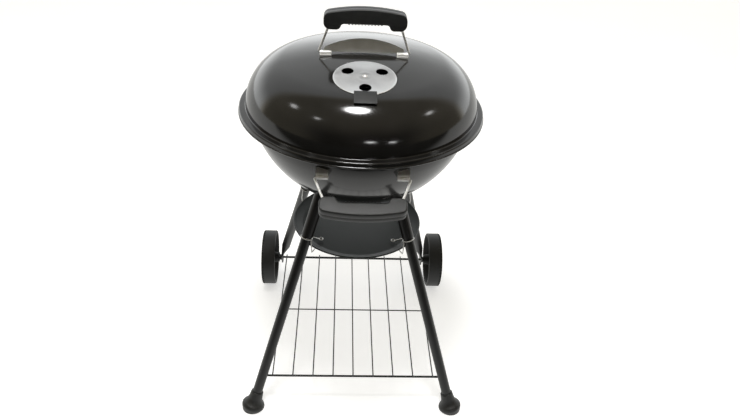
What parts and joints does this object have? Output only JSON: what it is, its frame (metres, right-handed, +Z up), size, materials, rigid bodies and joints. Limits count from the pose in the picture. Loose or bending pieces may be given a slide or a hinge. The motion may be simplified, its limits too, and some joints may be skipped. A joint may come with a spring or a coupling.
{
  "type": "kettle charcoal grill",
  "caption": "Round kettle charcoal grill: enamelled bowl with lift-off domed lid, turning dampers, tube legs, wire shelf and two wheels.",
  "frame": {"origin": "on the floor, under the middle of the grill's bounding box", "axes": "+X to the right seen from the front (handle) side, +Y to the back where the wheels are, +Z up"},
  "size_m": [0.5074, 0.6249, 0.8733],
  "materials": {
    "enamel": "high gloss porcelain enamel",
    "brushed_aluminium": "brushed",
    "bright_steel": "bright plated",
    "black_plastic": "fine grained, satin",
    "satin_steel": "satin rolled sheet",
    "painted_sheet": "satin paint",
    "plated_wire": "plated wire",
    "bare_steel": "bare steel, oiled",
    "powder_coat": "satin powder coat",
    "wheel_plastic": "moulded, matte"
  },
  "bodies": {
    "stand": {"bowl_shell": "enamel", "bowl_damper_rivet": "bright_steel", "bowl_handle_wire": "bright_steel", "bowl_handle_grip": "black_plastic", "bowl_bracket_left": "bright_steel", "bowl_bracket_right": "bright_steel", "grate_tabs": "bare_steel", "upper_leg_front_left": "powder_coat", "upper_leg_front_right": "powder_coat", "upper_leg_rear_left": "powder_coat", "upper_leg_rear_right": "powder_coat", "lower_leg_front_left": "powder_coat", "lower_leg_front_right": "powder_coat", "lower_leg_rear_left": "powder_coat", "lower_leg_rear_right": "powder_coat", "ash_clip_front_left": "bright_steel", "ash_clip_front_right": "bright_steel", "ash_clip_rear_left": "bright_steel", "ash_clip_rear_right": "bright_steel", "foot_left": "black_plastic", "foot_right": "black_plastic", "ash_plate": "painted_sheet", "shelf_front_bar": "powder_coat", "shelf_middle_bar": "powder_coat", "shelf_wires": "powder_coat", "axle": "powder_coat", "axle_cap_left": "bright_steel", "axle_cap_right": "bright_steel", "axle_spacers": "powder_coat"},
    "lid": {"lid_shell": "enamel", "lid_damper_rivet": "bright_steel", "lid_handle_wire": "bright_steel", "lid_handle_grip": "black_plastic", "lid_bracket_left": "bright_steel", "lid_bracket_right": "bright_steel", "lid_heat_shield": "satin_steel"},
    "lid_vent": {"lid_damper": "brushed_aluminium", "lid_damper_tab": "black_plastic"},
    "bowl_vent": {"bowl_damper": "brushed_aluminium"},
    "cooking_grate": {"cooking_grate": "plated_wire"},
    "charcoal_grate": {"charcoal_grate": "bare_steel"},
    "wheel_left": {"wheel_left": "wheel_plastic"},
    "wheel_right": {"wheel_right": "wheel_plastic"}
  },
  "joints": [
    {"name": "lid_lift", "type": "slide", "parent": "stand", "child": "lid", "axis": [0, 0, 1], "range_m": [0, 0.35]},
    {"name": "lid_vent_turn", "type": "hinge", "parent": "lid", "child": "lid_vent", "pos_m": [0, -0.1216, 0.77819], "axis": [0, -0.1413, 0.99], "range_deg": [0, 60]},
    {"name": "bowl_vent_turn", "type": "hinge", "parent": "stand", "child": "bowl_vent", "pos_m": [0, -0.0156, 0.479], "axis": [0, 0, 1], "range_deg": [0, 60]},
    {"name": "cooking_grate_lift", "type": "slide", "parent": "stand", "child": "cooking_grate", "axis": [0, 0, 1], "range_m": [0, 0.03]},
    {"name": "charcoal_grate_lift", "type": "slide", "parent": "stand", "child": "charcoal_grate", "axis": [0, 0, 1], "range_m": [0, 0.05]},
    {"name": "wheel_left_spin", "type": "hinge", "parent": "stand", "child": "wheel_left", "pos_m": [-0.23, 0.2384, 0.075], "axis": [1, 0, 0], "continuous": true},
    {"name": "wheel_right_spin", "type": "hinge", "parent": "stand", "child": "wheel_right", "pos_m": [0.23, 0.2384, 0.075], "axis": [1, 0, 0], "continuous": true}
  ]
}
